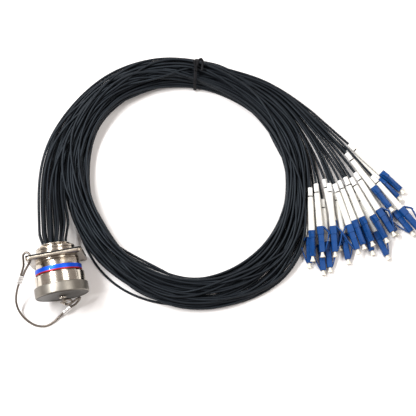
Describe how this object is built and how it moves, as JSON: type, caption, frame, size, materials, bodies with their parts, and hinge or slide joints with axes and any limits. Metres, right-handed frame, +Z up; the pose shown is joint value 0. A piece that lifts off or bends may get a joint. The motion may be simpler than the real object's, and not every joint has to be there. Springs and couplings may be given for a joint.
{
  "type": "fibre optic cable assembly",
  "caption": "Square flange receptacle with tethered screw-on dust cap, a round coil of thin black leads and a small square latching plug on each lead end.",
  "frame": {"origin": "on the floor, under the middle of the receptacle and its cap", "axes": "+Z up from the floor, +Y along the receptacle's axis from its capped front to its cable end, X across the flange, with the coil and plugs lying on the +X side"},
  "size_m": [0.3462, 0.2181, 0.046],
  "materials": {
    "nickel": "bright nickel plate with warm tint",
    "steel": "satin turned stainless steel",
    "wire_rope": "fine stranded stainless rope",
    "black_rubber": "matte black elastomer",
    "insert": "moulded dark grey",
    "tie": "black coated wire tie",
    "plug": "moulded blue, with white boot, sleeve and ferrule cap",
    "jacket": "smooth black cable jacket"
  },
  "bodies": {
    "receptacle": {"receptacle_shell": "nickel", "flange_gasket": "black_rubber", "rear_nut": "nickel", "rear_seal": "black_rubber", "contact_insert": "insert", "flange_loop": "wire_rope", "lanyard": "wire_rope", "crimp_a": "steel", "lead_coil": "jacket", "coil_tie": "tie", "lead_tail": "jacket", "lead_01": "jacket", "lead_02": "jacket", "lead_03": "jacket", "lead_04": "jacket", "lead_05": "jacket", "lead_06": "jacket", "lead_07": "jacket", "lead_08": "jacket", "lead_09": "jacket", "lead_10": "jacket", "lead_11": "jacket", "lead_12": "jacket", "lead_13": "jacket", "lead_14": "jacket", "lead_15": "jacket", "lead_16": "jacket", "lead_17": "jacket", "lead_18": "jacket", "lead_19": "jacket", "lead_20": "jacket", "lead_21": "jacket", "plug_01": "plug", "plug_02": "plug", "plug_03": "plug", "plug_04": "plug", "plug_05": "plug", "plug_06": "plug", "plug_07": "plug", "plug_08": "plug", "plug_09": "plug", "plug_10": "plug", "plug_11": "plug", "plug_12": "plug", "plug_13": "plug", "plug_14": "plug", "plug_15": "plug", "plug_16": "plug", "plug_17": "plug", "plug_18": "plug", "plug_19": "plug", "plug_20": "plug", "plug_21": "plug"},
    "swivel": {"cap_screw": "steel", "tether_ring": "steel", "cap_loop": "wire_rope", "crimp_b": "steel"},
    "cap": {"dust_cap": "steel"}
  },
  "joints": [
    {"name": "cap_slide", "type": "slide", "parent": "receptacle", "child": "swivel", "axis": [0, -1, 0], "range_m": [0, 0.01905], "deforming": ["lanyard"]},
    {"name": "cap_turn", "type": "hinge", "parent": "swivel", "child": "cap", "pos_m": [0, 0, 0.023], "axis": [0, -1, 0], "range_deg": [0, 900]}
  ],
  "couplings": [
    {"joint": "cap_slide", "follows": "cap_turn", "m_per_rad": 0.0012128}
  ]
}
